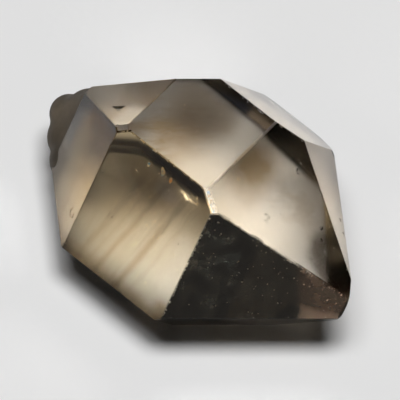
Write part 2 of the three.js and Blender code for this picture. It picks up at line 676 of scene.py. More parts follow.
def smoke(finish):
    """The absorption inside the stone, the same for all of it."""
    inside = finish.add("ShaderNodeVolumeAbsorption", {}, {"Color": SMOKE_TINT, "Density": SMOKE_DENSITY})
    finish.tree.links.new(inside.outputs["Volume"], finish.output.inputs["Volume"])


quartz = Finish("smoky_quartz")
quartz.put(quartz.surface, {
    "Transmission Weight": 1.0, "IOR": QUARTZ_IOR, "Specular Tint": FACE_REFLECTION,
})
smoke(quartz)
print("the quartz bends light by", QUARTZ_IOR)

# %% [markdown]
# ## Painted shade on the bottom face
#
# Brown clouds are painted over the back of the bottom face, and a brown rim along its front edge. They
# are painted shade: through the bottom the other faces show the floor under the stone, and these tints
# darken it as shade would. One even absorption can't show that, and a second volume inside the first
# would need a wall between them. But a face tints all that is seen through it, so the shade is drawn on
# the face. A point is on a face when it lies as far out in that face's direction as the face does.

# %% Find the faces in a material
ON_FACE_MARGIN = 0.03


def on_face(finish, place, name):
    """1 on a face of the crystal, and 0 elsewhere."""
    direction, distance = FACES[name]
    return finish.reach(place, direction).above(distance - ON_FACE_MARGIN)


def place_on(finish, place, name):
    """How far a point lies along a face and across it, counted as spot counts."""
    outward, along, across = directions_on(name)
    return finish.reach(place, along), finish.reach(place, across)


def patch(first, first_range, second, second_range):
    """A mask for a part of a face, from where it starts to where it is full, each of two ways."""
    return first.rise(*first_range) * second.rise(*second_range)


here = quartz.place()
lengthwise = quartz.reach(here, (1, 0, 0))
depthwise = quartz.reach(here, (0, 1, 0))
print("places are found with", len(quartz.tree.nodes), "nodes")

# %% Paint shade on the bottom face
CLEAR = (1, 1, 1, 1)
# a brown for painted shade on the bottom and the right end's upper face, and for an uneven smoky tone on the
# top and the right end's upper face
SHADE_AND_SMOKE_BROWN = (0.55, 0.45, 0.34, 1)
RIM_SHADE_BROWN = (0.42, 0.33, 0.22, 1)
# how far the edges of the painted shade and of the rim wander
BOTTOM_SHADE_WANDER, RIM_WANDER = 1.2, 0.6
# where the painted shade starts and where it is full, seen from the left, the right, the front and the back
BOTTOM_SHADE_LEFT, BOTTOM_SHADE_RIGHT = (-4.3, -2.8), (-0.8, -1.9)
BOTTOM_SHADE_FRONT, BOTTOM_SHADE_BACK = (1.2, 2.8), (4.2, 3.0)
# how strong it is beside its middle and in it, and beyond its back and before it
BOTTOM_SHADE_STRENGTH = (0.02, 0.8)
BACK_STRENGTH = (0.18, 1.0)
RIM_FRONT = (-1.5, -2.5)

clouds = quartz.noise(here, scale=0.8, detail=3, shift=(3, 5, 0)) - 0.5
middle = lengthwise + clouds * BOTTOM_SHADE_WANDER
middle_shade = (middle.rise(*BOTTOM_SHADE_LEFT) * middle.rise(*BOTTOM_SHADE_RIGHT)).spread(*BOTTOM_SHADE_STRENGTH)
far_edge = depthwise.rise(*BOTTOM_SHADE_BACK).spread(*BACK_STRENGTH)
back_shade = (depthwise + clouds * BOTTOM_SHADE_WANDER).rise(*BOTTOM_SHADE_FRONT) * far_edge * middle_shade
front_rim_shade = (depthwise + clouds * RIM_WANDER).rise(*RIM_FRONT)
on_bottom = on_face(quartz, here, "bottom")
# painted shade: brown clouds over the back of the bottom face, and a brown rim along its front edge
tint = quartz.washes(CLEAR, (on_bottom * back_shade, 1, SHADE_AND_SMOKE_BROWN), (on_bottom * front_rim_shade, 1, RIM_SHADE_BROWN))
print("the bottom face is tinted with", len(quartz.tree.nodes), "nodes")

# %% [markdown]
# ## The broad front face
#
# The broadest front face looks honey-coloured, darker towards its top, with slanting brown streaks. They
# are growth lines: each is a layer that took up more iron. A Wave texture would space them evenly, but
# there are only a few, each with its own width. So each is listed as a distance from a slanted
# line, with a little noise so that it wanders, and fine lines of stretched noise lie between them.

# %% Draw the streaks
# a brown for the streaks and the broad front face's brown patches, and for painted shade on the left end and
# the right end's upper face
STREAK_AND_SHADE_BROWN = (0.5, 0.36, 0.2, 1)
# how far a streak moves along the face for each millimetre that it climbs, and how far it wanders
STREAK_SLANT, STREAK_WANDER = 0.23, 0.16
# where a streak lies along the face, its half width, its strength
STREAKS = [
    (-1.4, 0.24, 0.55), (-1.02, 0.1, 0.25), (-0.62, 0.18, 0.65),
    (0.0, 0.1, 0.22), (0.26, 0.24, 0.8), (0.75, 0.16, 0.2),
]
FINE_LINE_STRENGTH, BLOTCH_STRENGTH = 0.28, 0.22
# noise shows as a line or a blotch from the first value on, and fully from the second
FINE_LINES, BLOTCHES = (0.45, 0.8), (0.45, 0.75)
# where the streaks fade towards the top of the face, how much of them is left there, and where the
# blotches begin
STREAKS_FADE, FADED_STREAKS = (2.0, 0.6), (0.2, 1.0)
BLOTCHES_START = (-0.4, 0.8)

along, across = place_on(quartz, here, "upper_front")
wander = (quartz.noise(here, scale=0.6, detail=1, shift=(9, 1, 4)) - 0.5) * STREAK_WANDER
line_noise = quartz.noise(here, scale=1.0, detail=4, roughness=0.65, stretch=(5, 0.5, 0.5), shift=(2, 8, 1))
blotch_noise = quartz.noise(here, scale=1.6, detail=5, roughness=0.6, shift=(4, 4, 8))
streaks = line_noise.rise(*FINE_LINES) * FINE_LINE_STRENGTH
sideways = along - across * STREAK_SLANT + wander
for middle_of_streak, half_width, strength in STREAKS:
    streaks = streaks + sideways.near(middle_of_streak, half_width, 0.0) * strength
streaks = streaks * across.rise(*STREAKS_FADE).spread(*FADED_STREAKS)
streaks = streaks + blotch_noise.rise(*BLOTCHES) * across.rise(*BLOTCHES_START) * BLOTCH_STRENGTH
print(len(STREAKS), "streaks on the broad front face")

# %% [markdown]
# ## The honey colours and painted light and shade between the streaks
#
# The face isn't one honey colour. It is pale low down, deep and brown towards its top and left, partly in
# its own honey and partly as painted shade. A paler patch is painted light, and a dark patch along the
# upper edge is painted shade. A few more patches clear it or brown it in places. Each patch is a mask, a
# strength and a colour, washed over those before it. The masks are drawn with distances along the face
# and across it, from its middle.

# %% Wash the honey colours and the painted light and shade over the face
HONEY_LOW = (1.0, 0.93, 0.72, 1)
HONEY_AND_SHADE_HIGH = (0.92, 0.64, 0.29, 1)
HONEY_AND_SHADE_LEFT = (0.62, 0.4, 0.13, 1)
EDGE_SHADE = (0.1, 0.08, 0.06, 1)
# how far the honey's border and the low cloud climb for each millimetre along the face
HONEY_SLANT, CLOUD_SLANT = 0.4, 0.73
# how much more than the streaks they wander
HONEY_WANDER, CLOUD_WANDER = 2, 3
# where a patch starts and where it is full: across for the climb, along for the left side, else both
CLIMB = (-1.4, 1.4)
LEFT_SIDE = (0.1, -1.7)
CLEAR_SIDE = (0.4, 1.4), (0.8, -0.2)
BROWN_CORNER = (0.9, 1.4), (-2.1, -2.6)
UPPER_EDGE = (-1.4, -0.9), (1.9, 2.15)
# the middle of a patch, how far from it the patch ends, and how far it is full
PALE_ALONG, PALE_ACROSS = (-0.15, 0.7, 0.1), (1.3, 0.5, 0.05)
LOW_CLOUD_START, LOW_CLOUD_ACROSS = (0.3, -0.8), (0.86, 0.75, 0.1)

climb = (across - along * HONEY_SLANT + wander * HONEY_WANDER).rise(*CLIMB)
low_line = across - along * CLOUD_SLANT + wander * CLOUD_WANDER
low_cloud = along.rise(*LOW_CLOUD_START) * low_line.near(*LOW_CLOUD_ACROSS)
painted_light_patch = along.near(*PALE_ALONG) * across.near(*PALE_ACROSS)
clear_side, brown_corner, upper_edge_shade = [
    patch(along, along_range, across, across_range)
    for along_range, across_range in (CLEAR_SIDE, BROWN_CORNER, UPPER_EDGE)
]
honey_and_shade = quartz.washes(
    HONEY_LOW,
    # partly the face's own honey and partly painted shade: deeper and browner towards the top and the left
    (climb, 1, HONEY_AND_SHADE_HIGH),
    (low_cloud, 0.25, STREAK_AND_SHADE_BROWN),
    (along.rise(*LEFT_SIDE), 0.4, HONEY_AND_SHADE_LEFT),
    # painted light: a paler patch
    (painted_light_patch, 0.7, HONEY_LOW),
    (clear_side, 0.35, CLEAR),
    (brown_corner, 1, STREAK_AND_SHADE_BROWN),
    # painted shade: a dark patch along the upper edge
    (upper_edge_shade, 0.8, EDGE_SHADE),
    (streaks, 1, STREAK_AND_SHADE_BROWN),
)
tint = quartz.washes(tint, (on_face(quartz, here, "upper_front"), 1, honey_and_shade))
print("the broad front face is honey-coloured, now", len(quartz.tree.nodes), "nodes")

# %% [markdown]
# ## The left end's faces
#
# The two faces of the left end look towards the dull knobs that grew over that end. Painted shade
# darkens them towards the knobs, towards the back and top, and beside the upper face. Narrow light and
# dark bands beside the edge that the lower one shares with the broad front face are painted light and
# shade, and the shade is cleared from a bright corner of the upper face. These changes run one way only,
# so a Color Ramp read by a distance draws each. A little noise in the distance makes the bands wander.

# %% Paint shade on the left end's faces
KNOB_SHADE = (0.16, 0.14, 0.13, 1)
# the way towards the back and the top, and how far along it each face's painted shade starts and ends
BACKWARDS = (0.4, 0.9, 0.5)
FRONT_LEFT_REACH, TOP_LEFT_REACH = (-5.0, 0.0), (-0.6, 1.4)
FRONT_LEFT_SHADE_BROWNS = [
    (0.1, (0.8, 0.65, 0.45, 1)), (0.4, (0.58, 0.39, 0.18, 1)),
    (0.72, (0.52, 0.28, 0.08, 1)), (0.86, (0.36, 0.22, 0.09, 1)),
]
TOP_LEFT_SHADE_BROWNS = [
    (0.1, (0.76, 0.65, 0.52, 1)), (0.37, (0.5, 0.39, 0.28, 1)), (0.75, (0.37, 0.27, 0.17, 1)),
]
# the painted light and dark bands beside the broad front face, which lies 2.58 millimetres from the centre
BAND_REACH = (0.0, 2.6)
FRONT_LEFT_PAINTED_BANDS = [
    (0.5, (0.95, 0.95, 0.95, 1)), (0.74, (0.8, 0.74, 0.68, 1)),
    (0.82, (0.98, 0.93, 0.86, 1)), (0.98, (1, 1, 0.97, 1)),
]
# how far the painted shade's browns, the brown beside the upper face and the knobs' shade wobble
BROWNS_WOBBLE, SIDE_WOBBLE, SHADE_WOBBLE = 0.8, 0.3, 0.4
# where each starts and is full: beside the upper face, low on the lower one, towards the knobs
BESIDE_UPPER, LOW_DOWN, TOWARDS_KNOBS = (3.5, 3.95), (-0.5, -1.6), (-4.2, -4.9)
# how strong the brown beside the upper face is, and how much of the knobs' shade is left low down
BESIDE_STRENGTH, SHADE_LEFT = 0.95, 0.4
# where the upper face's bright corner starts and is full, along the face and across it
BRIGHT_CORNER = (-1.05, -0.45), (0.15, -0.35)

mottle = quartz.noise(here, scale=1.3, detail=4, shift=(7, 2, 6))
wobble = mottle - 0.5
backwards = quartz.reach(here, BACKWARDS) + wobble * BROWNS_WOBBLE
shade_browns = quartz.colours(backwards.share(*FRONT_LEFT_REACH), FRONT_LEFT_SHADE_BROWNS)
painted_bands = quartz.colours(quartz.reach(here, FACES["upper_front"][0]).share(*BAND_REACH), FRONT_LEFT_PAINTED_BANDS)
beside_upper = (quartz.reach(here, FACES["top_left"][0]) + wobble * SIDE_WOBBLE).rise(*BESIDE_UPPER)
painted_bands = quartz.washes(painted_bands, (beside_upper, BESIDE_STRENGTH, STREAK_AND_SHADE_BROWN))
along, across = place_on(quartz, here, "upper_front_left")
low_down = across.rise(*LOW_DOWN)
near_knobs = (lengthwise + wobble * SHADE_WOBBLE).rise(*TOWARDS_KNOBS) * low_down.spread(1, SHADE_LEFT)
# painted shade, and painted light and dark bands, on the lower face, darkest towards the knobs
front_left = quartz.washes(quartz.vector("MULTIPLY", shade_browns, painted_bands), (near_knobs, 1, KNOB_SHADE))

along, across = place_on(quartz, here, "top_left")
shade_browns = quartz.colours(backwards.share(*TOP_LEFT_REACH), TOP_LEFT_SHADE_BROWNS)
# painted shade on the upper face, cleared from its bright corner
top_left = quartz.washes(shade_browns, (patch(along, BRIGHT_CORNER[0], across, BRIGHT_CORNER[1]), 1, CLEAR))
tint = quartz.washes(
    tint, (on_face(quartz, here, "upper_front_left"), 1, front_left),
    (on_face(quartz, here, "top_left"), 1, top_left),
)
print("the left end's faces are shaded, now", len(quartz.tree.nodes), "nodes")

# %% [markdown]
# ## The back
#
# The two upper faces at the back are tinted browner than the rest, partly in the stone's own brown and
# partly as painted shade, and the one at the right end loses its brown towards the tip. Little of them is
# seen from the front, but much of the light comes in through them.

# %% Tint the back
BACK_BROWN = (0.4, 0.34, 0.28, 1)
BACK_END_BROWN = (0.82, 0.75, 0.67, 1)
# where the back's brown starts and is full, coming from the tip
BACK_BROWN_END = (4.4, 3.2)

back_end = quartz.blend(lengthwise.rise(*BACK_BROWN_END), BACK_END_BROWN, BACK_BROWN)
# partly the stone's own brown and partly painted shade, on the two upper faces at the back
tint = quartz.washes(
    tint, (on_face(quartz, here, "upper_back"), 1, BACK_BROWN),
    (on_face(quartz, here, "upper_back_right"), 1, back_end),
)
print("the back is tinted, now", len(quartz.tree.nodes), "nodes")

# %% [markdown]
# ## Painted shade on the top
#
# Soft brown clouds and wisps are painted on the top and on the right end's upper face. They are painted
# shade, for the darker floor seen through these faces. The wisps' noise is drawn out in one direction,
# and the clouds' edges wander with it. Towards the back edge the top is tinted bluish, which is painted
# light, and a painted grey shade lies before the blunt tip.

# %% Paint shade and a bluish light over the top
TOP_SHADE_BROWN = (0.6, 0.38, 0.14, 1)
PAINTED_BLUE_LIGHT = (0.7, 0.75, 0.95, 1)
# the way in which the wisps are drawn out, and how many times
WISP_DIRECTION, WISP_LENGTH = (0.75, 0.66, 0), 3
# how far the top cloud's edges wander with the wisps, and its strength
TOP_WANDER, TOP_STRENGTH = 3, 0.5
# the middle of the cloud, how far from it the cloud ends, and how far it is full
TOP_CLOUD_LENGTH, TOP_CLOUD_WIDTH = (-1.3, 1.4, 0.3), (-0.1, 1.3, 0.2)
# where the wisps start towards the left end, which noise shows as a wisp, and the painted shade that they
# give
WISPS_START, WISPS_SHOW, WISPS_STRENGTH = (0.3, -1.0), (-0.06, 0.1), (0.14, 0.38)
# where the painted bluish light starts and is full towards the back edge, and which mottle shows
BLUE_LIGHT_START, MOTTLE_SHOWS = (1.65, 2.1), (0.45, 0.75)

drawn_out = quartz.drawn_out(here, WISP_DIRECTION, WISP_LENGTH)
wisps = quartz.noise(drawn_out, scale=1.5, detail=5, roughness=0.6, shift=(6, 2, 5)) - 0.5
top_shade_cloud = (lengthwise + wisps * TOP_WANDER).near(*TOP_CLOUD_LENGTH)
top_shade_cloud = top_shade_cloud * (depthwise + wisps * TOP_WANDER).near(*TOP_CLOUD_WIDTH)
left_shade_wisps = lengthwise.rise(*WISPS_START) * wisps.rise(*WISPS_SHOW).spread(*WISPS_STRENGTH)
on_top = on_face(quartz, here, "top")
on_top_right = on_face(quartz, here, "top_right")
tint = quartz.washes(
    tint,
    ((on_top + on_top_right) * mottle.rise(*MOTTLE_SHOWS), 0.12, SHADE_AND_SMOKE_BROWN),
    # painted shade: a brown cloud on the top, and darker wisps towards its left end
    (on_top * (top_shade_cloud * TOP_STRENGTH + left_shade_wisps), 1, TOP_SHADE_BROWN),
    # painted light: a bluish tint towards the top's back edge
    (on_top * depthwise.rise(*BLUE_LIGHT_START), 0.7, PAINTED_BLUE_LIGHT),
)
print("the top is smoky, now", len(quartz.tree.nodes), "nodes")

# %% Paint shade over the right end's upper face
END_SHADE_GREY = (0.2, 0.17, 0.155, 1)
# how far the outer shade's edges wander with the wisps, along the face and across it
OUTER_WANDER = (4, 3)
# the middle of each shade, how far from it the shade ends, and how far it is full
INNER_ALONG, INNER_ACROSS = (-0.6, 1.4, 0.2), (0.8, 1.6, 0.2)
OUTER_ALONG, OUTER_ACROSS = (1.4, 1.4, 0.2), (1.3, 0.75, 0.1)
# the grey shade's side towards the tip: how far it drops for each millimetre along the face, and how
# far across the face it crosses the middle
END_SLANT, END_ACROSS = 0.87, 3.93
# where the grey shade starts and is full before that side, where it stops, and how it fades to its
# upper and lower corners
GREY_START, GREY_STOP = (-1.3, -0.5), (0.2, 0.0)
GREY_UPPER_SLANT, GREY_UPPER, GREY_LOWER = 0.5, (1.7, 2.3), (0.1, 0.5)
# what the mottle is added to, so that the inner and the grey shade are uneven
INNER_EVEN, GREY_EVEN = 0.5, 0.4

along, across = place_on(quartz, here, "top_right")
inner_shade = along.near(*INNER_ALONG) * across.near(*INNER_ACROSS)
outer_shade = (along + wisps * OUTER_WANDER[0]).near(*OUTER_ALONG)
outer_shade = outer_shade * (across + wisps * OUTER_WANDER[1]).near(*OUTER_ACROSS)
before_end = across + along * END_SLANT - END_ACROSS + wisps
grey_shade = before_end.rise(*GREY_START) * before_end.rise(*GREY_STOP)
grey_shade = grey_shade * patch(along - across * GREY_UPPER_SLANT, GREY_UPPER, across, GREY_LOWER)
tint = quartz.washes(
    tint,
    # painted shade: brown patches on the right end's upper face, and a grey one before the blunt tip
    (on_top_right * outer_shade, 0.45, SHADE_AND_SMOKE_BROWN),
    (on_top_right * inner_shade * (mottle + INNER_EVEN), 1, STREAK_AND_SHADE_BROWN),
    (on_top_right * grey_shade * (mottle + GREY_EVEN), 1, END_SHADE_GREY),
)
print("the right end's upper face is smoky, now", len(quartz.tree.nodes), "nodes")

# %% [markdown]
# ## The dark front end
#
# The right end's front face mirrors only the dark side of the stone, so it is nearly black. Painted shade
# deepens that: a mask that runs towards the tip, a little slanted, blends its darkest tint into the
# lighter one of the tip.

# %% Paint shade on the dark front end
FRONT_END_SHADE = (0.62, 0.59, 0.55, 1)
FRONT_END_DEEPEST_SHADE = (0.19, 0.185, 0.165, 1)
# how the dark part's border slants, and where the darkness starts and is full, coming from the tip
TIP_SLANT = 0.38
DARKNESS_END = (3.8, 3.2)

along, across = place_on(quartz, here, "upper_front_right")
# painted shade that deepens the dark front face, lighter towards the tip
painted_front_end_shade = quartz.blend((along + across * TIP_SLANT).rise(*DARKNESS_END), FRONT_END_SHADE, FRONT_END_DEEPEST_SHADE)
tint = quartz.washes(tint, (on_face(quartz, here, "upper_front_right"), 1, painted_front_end_shade))
print("all faces are tinted, with", len(quartz.tree.nodes), "nodes")

# %% [markdown]
# ## Faces that soften what lies behind them
#
# Marks on the faces are sharp, but the far edges seen through them are soft. Time has etched these faces
# so finely that nothing shows on the face itself. A low Roughness does the same: it spreads light a
# little where it passes, and the deeper a thing lies behind the face, the softer it looks. The dark
# front face was spared, and stays perfectly smooth.

# %% Etch the faces
# how rough each etched face is
ETCHED_FACES = {
    "top": 0.13, "top_right": 0.18, "upper_front": 0.08, "top_left": 0.12, "upper_front_left": 0.12,
}

softness = sum(on_face(quartz, here, name) * rough for name, rough in ETCHED_FACES.items())
quartz.put(quartz.surface, {"Base Color": tint, "Roughness": softness})
print(len(ETCHED_FACES), "faces are etched")

# %% [markdown]
# ## The knobs' quartz
#
# The knobs are the same quartz, but their skin is dull: it grew in thousands of tiny steps that scatter
# light. So this finish is rough, with a grey-brown tint. Some of the light never passes the skin, which
# a Transmission Weight below 1 stands for.

# %% The dull quartz of the knobs
KNOB_BROWNS = [(0.3, (0.2, 0.165, 0.12, 1)), (0.7, (0.38, 0.31, 0.23, 1))]
KNOB_ROUGHNESS = (0.5, 0.8)
LIGHT_THAT_PASSES = 0.8

knob_quartz = Finish("dull_quartz")
smoke(knob_quartz)
here = knob_quartz.place()
grain = knob_quartz.noise(here, scale=1.6, detail=4, shift=(1, 2, 3))
knob_quartz.put(knob_quartz.surface, {
    "Transmission Weight": LIGHT_THAT_PASSES, "IOR": QUARTZ_IOR, "Specular Tint": FACE_REFLECTION,
    "Roughness": grain.spread(*KNOB_ROUGHNESS),
    "Base Color": knob_quartz.colours(grain, KNOB_BROWNS),
})
print("the knobs' finish has", len(knob_quartz.tree.nodes), "nodes")

# %% [markdown]
# ## One stone
#
# The knobs grew onto the crystal, and there is no surface between them. Two meshes that only overlap
# would leave hidden walls inside clear quartz, and each would bend the light once more. A Boolean union
# makes one closed skin of both, and TRANSFER lets each part of it keep its own finish. The stone is then
# shrunk to its real size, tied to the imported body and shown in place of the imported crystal.

# %% Put the knobs on the crystal
for thing, finish in ((crystal, quartz), (knobs, knob_quartz)):
    thing.data.materials.clear()
    thing.data.materials.append(finish.material)

modify(crystal, "BOOLEAN", operation="UNION", object=knobs, solver="EXACT", material_mode="TRANSFER")
bpy.data.objects.remove(knobs)
to_real_size(crystal)
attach(crystal, "root")
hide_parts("crystal")
print("with its knobs:", len(crystal.data.polygons), "faces,", len(crystal.data.materials), "finishes")

# %% [markdown]
# ## Pale dust under the faces
#
# As the crystal grew it closed over whatever lay on its faces. Most of it is pale dust, which shows
# best behind the dark front face. Specks in a material would lie on the face. Real ones lie under it
# and shift against the edges when the stone is turned, so they are a piece of their own: one rough ball
# of twenty faces, copied to random places a little below the faces, and a few placed one by one.

# %% Helpers for what is sealed in the stone
def somewhere_on(name, depth):
    """A random point under a face."""
    weights = [random.random() ** 2 for _ in FACE_CORNERS[name]]
    middle = sum((corner * weight for corner, weight in zip(FACE_CORNERS[name], weights)), Vector())
    return middle / sum(weights) - FACES[name][0] * depth


def seal(things, name, finish):
    """Makes one piece of many small shapes that ride in the crystal."""
    piece = joined(things, name)
    piece.data.materials.clear()
    piece.data.materials.append(finish.material)
    to_real_size(piece)
    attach(piece, "root")
    print(name, "has", len(piece.data.polygons), "faces")


def grainy(name, scale, colours, roughness):
    """A dull finish whose colour differs from grain to grain."""
    finish = Finish(name)
    colour = finish.colours(finish.noise(finish.place(), scale=scale), colours)
    finish.put(finish.surface, {"Base Color": colour, "Roughness": roughness})
    return finish


grain_shape = start_with(bpy.ops.mesh.primitive_ico_sphere_add, subdivisions=1, radius=1)
print("one grain has", len(grain_shape.data.polygons), "faces")

# %% Spread the pale dust
# the face they lie under, how many, their smallest and largest radius
PALE_DUST = [
    ("upper_front_right", 58, 0.014, 0.026),
    ("upper_front", 36, 0.012, 0.022),
    ("top", 16, 0.012, 0.022),
    ("top_right", 8, 0.012, 0.018),
]
# the face, along it, across it, radius
PLACED_DUST = [
    ("upper_front_right", 2.43, -1.76, 0.05), ("upper_front_right", 2.62, -1.7, 0.025),
    ("upper_front_right", 1.2, 0.1, 0.025), ("upper_front", -1.85, 0.62, 0.022),
    ("upper_front", -0.45, 0.2, 0.02),
]
# how deep the dust lies, and how much longer or shorter than its radius a speck can be each way
DUST_DEPTH, PLACED_DEPTH = (0.04, 0.1), 0.08
SPECK_STRETCH, PLACED_STRETCH = (0.7, 1.4), (1, 0.8, 0.5)
DUST_COLOURS = [(0.35, (0.78, 0.6, 0.4, 1)), (0.65, (0.97, 0.9, 0.78, 1))]

specks = []
for name, count, smallest, largest in PALE_DUST:
    for _ in range(count):
        radius = smallest + (largest - smallest) * random.random() ** 2
        size = [radius * random.uniform(*SPECK_STRETCH) for _ in range(3)]
        place = somewhere_on(name, random.uniform(*DUST_DEPTH))
        specks.append(copy_of(grain_shape, place, size, random_turn()))
for name, along_by, across_by, radius in PLACED_DUST:
    place = spot(name, along_by, across_by, depth=PLACED_DEPTH)
    size = [radius * stretch for stretch in PLACED_STRETCH]
    specks.append(copy_of(grain_shape, place, size, random_turn()))

seal(specks, "pale_specks", grainy("pale_dust", 2.0, DUST_COLOURS, 0.8))

# %% [markdown]
# ## Bruises under the chips
#
# A knock that takes a chip off an edge also leaves a bruise below it, a knot of tiny cracks that looks
# white. These are the bright dots along the edges. Every chip that was cut gets one, of the same small
# ball, somewhat smaller than the chip and just deep enough to lie inside the stone.

# %% Put a bruise under every chip
BRUISE_STRETCH = (0.6, 1.0)
BRUISE_WHITES = [(0.3, (0.75, 0.68, 0.56, 1)), (0.6, (0.97, 0.95, 0.9, 1))]

bruises = []
for place, radius in bruised_places:
    size = (radius, radius * random.uniform(*BRUISE_STRETCH), radius * random.uniform(*BRUISE_STRETCH))
    bruises.append(copy_of(grain_shape, place, size, random_turn()))

seal(bruises, "chip_bruises", grainy("white_bruise", 4.0, BRUISE_WHITES, 0.7))

# %% [markdown]
# ## Black grains
#
# Herkimer diamonds are known for black grains of hardened petroleum. This one has only a few tiny ones,
# longer than they are wide, and a row of them at the narrow corner face on the left. They are placed one
# by one, because their places are part of what this stone looks like.

# %% Place the black grains
# the face, along it, across it, length, width
BLACK_GRAINS = [
    ("upper_front", -1.57, -0.9, 0.05, 0.025),
    ("upper_front", 0.98, -0.1, 0.03, 0.02),
    ("top_right", 0.51, 2.04, 0.1, 0.03),
    ("top_right", 0.62, 1.98, 0.05, 0.02),
    ("top_right", 1.2, 0.6, 0.02, 0.02),
    ("top_right", 0.3, 0.9, 0.02, 0.015),
    ("top_right", 4.1, 0.2, 0.03, 0.02),
    ("upper_front_left", -0.3, 0.4, 0.03, 0.03),
]
GRAIN_DEPTH = 0.05
ROW_OF_GRAINS = 9
ROW_GRAIN_SIZE = (0.02, 0.045)
PETROLEUM = [(0.3, (0.01, 0.01, 0.012, 1)), (0.7, (0.05, 0.04, 0.03, 1))]

grains = []
for name, along_by, across_by, length, width in BLACK_GRAINS:
    place = spot(name, along_by, across_by, depth=GRAIN_DEPTH)
    turn = turned_to(name, random.uniform(0, 180))
    grains.append(copy_of(grain_shape, place, (length, width, width), turn))
start, end = edge_between("corner_left", "upper_front")
inward = -(FACES["upper_front"][0] + FACES["corner_left"][0]) * GRAIN_DEPTH
for step in range(ROW_OF_GRAINS):
    place = start.lerp(end, (step + 0.5) / ROW_OF_GRAINS) + inward
    size = [random.uniform(*ROW_GRAIN_SIZE) for _ in range(3)]
    grains.append(copy_of(grain_shape, place, size, random_turn()))

seal(grains, "black_grains", grainy("black_grains", 3.0, PETROLEUM, 0.5))

# %% [markdown]
# ## The veil
#
# Behind the dark front face hangs a veil: an old crack that healed, and kept a haze of brine drops that
# are each far too small to see. Modelled one by one they would only be noise. So the veil is a thin
# closed sheet that follows its face a little way under it, and bisect trims it to the crystal's shape.

# %% Hang the veil
VEIL_DEPTH = 0.12
VEIL_THICKNESS = 0.01
VEIL_SIZE = (3.2, 2.2, 1)
VEIL_MIDDLE = (2.9, -0.3)
VEIL_SQUARES = 12

grid = bpy.ops.mesh.primitive_grid_add
veil = start_with(grid, x_subdivisions=VEIL_SQUARES, y_subdivisions=VEIL_SQUARES, size=2)
upwards = {"value": (0, 0, VEIL_THICKNESS)}
reshape(veil, (bpy.ops.mesh.extrude_region_move, {"TRANSFORM_OT_translate": upwards}))
veil.rotation_mode = "QUATERNION"
veil.rotation_quaternion = turned_to("upper_front_right")
veil.scale = VEIL_SIZE
veil.location = spot("upper_front_right", *VEIL_MIDDLE, depth=VEIL_DEPTH)
veil = joined([veil], "veil")
cut_to_faces(veil, depth=VEIL_DEPTH / 2, on_plane=0.0001, same_point=0.0005)
print("the veil has", len(veil.data.polygons), "faces")

# %% [markdown]
# ## The haze in the veil
#
# The veil is thin nearly everywhere, in greenish-grey clouds and slanting strands, and only its Alpha
# says how thin. Towards the tip the drops lie closer, and the veil turns brown, with a paler strip along
# its lower edge. Alpha leaves the sheet's own mesh whole, so it stays a plain closed shape.

# %% Draw the haze
GREENISH_HAZE = [(0.35, (0.28, 0.34, 0.33, 1)), (0.65, (0.42, 0.38, 0.3, 1))]
TIP_HAZE = (0.35, 0.23, 0.15, 1)
PALE_HAZE = (0.8, 0.6, 0.44, 1)
# noise shows as a bank or a strand from the first value on, and fully from the second
BANKS, STRANDS = (0.48, 0.64), (0.5, 0.66)
BANK_STRENGTH, STRAND_STRENGTH, TIP_STRENGTH = 0.5, 0.27, 0.5
# where the banks thin out towards the tip and what is left of them, where the tip's brown starts, and
# where its pale strip lies across the face
BANKS_END, BANKS_LEFT = (2.9, 1.4), (0.15, 1.0)
TIP_START, STRIP_START = (3.15, 3.5), (-0.75, -1.05)
TIP_WOBBLE, STRIP_WOBBLE = 0.5, 0.3

haze = Finish("healed_veil")
here = haze.place()
bank = haze.noise(here, scale=1.2, detail=5, roughness=0.65, shift=(3, 3, 3))
strands = haze.noise(here, scale=1.0, detail=4, roughness=0.6, stretch=(4, 0.7, 0.8), shift=(1, 6, 2))
along, across = place_on(haze, here, "upper_front_right")
tipwards = along + across * TIP_SLANT + (bank - 0.5) * TIP_WOBBLE
near_tip = tipwards.rise(*TIP_START)
low_strip = (across + (strands - 0.5) * STRIP_WOBBLE).rise(*STRIP_START)
thin = bank.rise(*BANKS) * BANK_STRENGTH + strands.rise(*STRANDS) * STRAND_STRENGTH
tip_haze = haze.blend(near_tip * low_strip, TIP_HAZE, PALE_HAZE)
haze.put(haze.surface, {
    "Base Color": haze.washes(haze.colours(strands, GREENISH_HAZE), (near_tip, 1, tip_haze)),
    "Roughness": 0.8,
    "Alpha": thin * tipwards.rise(*BANKS_END).spread(*BANKS_LEFT) + near_tip * TIP_STRENGTH,
})
seal([veil], "veil", haze)

# %% [markdown]
# ## Thin cracks that show colours
#
# Near the upper edge of the broad front face, and behind the small corner face on the right, hair-thin
# cracks hold a film of air. They mirror the light overhead and split it into rainbow colours. A film
# that thin has no thickness to model, so each crack is a small flat disc with nine uneven sides, as
# shiny as metal and coloured in bands. A disc only flashes when it is turned half way between the light
# above it and the eye, so that turn is worked out, with the bend at the face taken into account.

# %% Which way the viewer is
VIEW_AZIMUTH, VIEW_ELEVATION, VIEW_ROLL = 38.3, 60.8, 3.4
azimuth, elevation = math.radians(VIEW_AZIMUTH), math.radians(VIEW_ELEVATION)
towards_viewer = Vector((
    math.sin(azimuth) * math.cos(elevation),
    -math.cos(azimuth) * math.cos(elevation),
    math.sin(elevation),
))
UP = Vector((0, 0, 1))


def seen_through(name):
    """The way to the viewer inside the stone, before the face bends it."""
    outward = FACES[name][0]
    flat = (towards_viewer - outward * outward.dot(towards_viewer)) / QUARTZ_IOR
    return flat + outward * math.sqrt(1 - flat.length_squared)


print("inside the stone the viewer is towards", seen_through("upper_front")[:])

# %% Turn the thin cracks so that they catch the light
CRACK_SIDES = 9
CRACK_UNEVENNESS = 0.18
CRACK_THICKNESS = 0.008

